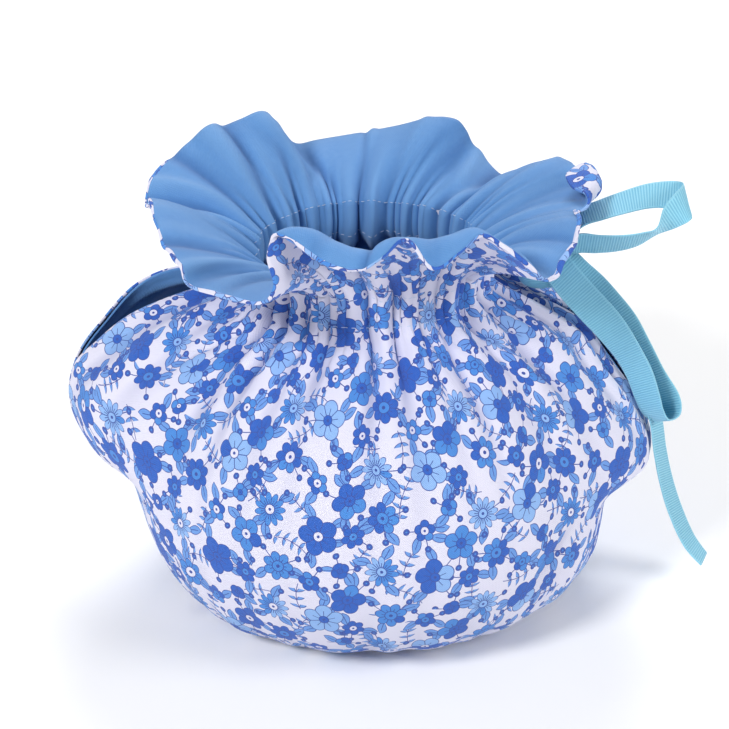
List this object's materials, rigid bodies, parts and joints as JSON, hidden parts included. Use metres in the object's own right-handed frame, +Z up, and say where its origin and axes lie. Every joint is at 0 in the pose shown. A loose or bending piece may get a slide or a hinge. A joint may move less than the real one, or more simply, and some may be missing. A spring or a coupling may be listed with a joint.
{
  "type": "tea cosy",
  "caption": "Gathered cloth cosy for a round pot, open at the hem and neck, with spout and handle slits, a ruffled collar above a drawn casing, and a ribbon tied in a bow at one side.",
  "frame": {"origin": "centre of the bounding box's bottom face, in the plane of the hem; the neck's axis stands at x = -0.0094, y = 0", "axes": "+X towards the handle side and its ribbon, -X towards the spout side, +Y to the back panel, -Y to the front panel, +Z up"},
  "size_m": [0.2476, 0.1835, 0.1704],
  "materials": {
    "printed_cotton": "matt plain-weave cotton with a small blue flower print on a pale ground",
    "plain_cotton": "matt plain-weave cotton, cornflower blue",
    "ribbon": "cross-ribbed ribbon, light sky blue, slight sheen"
  },
  "bodies": {
    "root": {"outer_front": "printed_cotton", "outer_back": "printed_cotton", "lining_front": "plain_cotton", "lining_back": "plain_cotton", "ribbon_tie": "ribbon"}
  },
  "joints": []
}
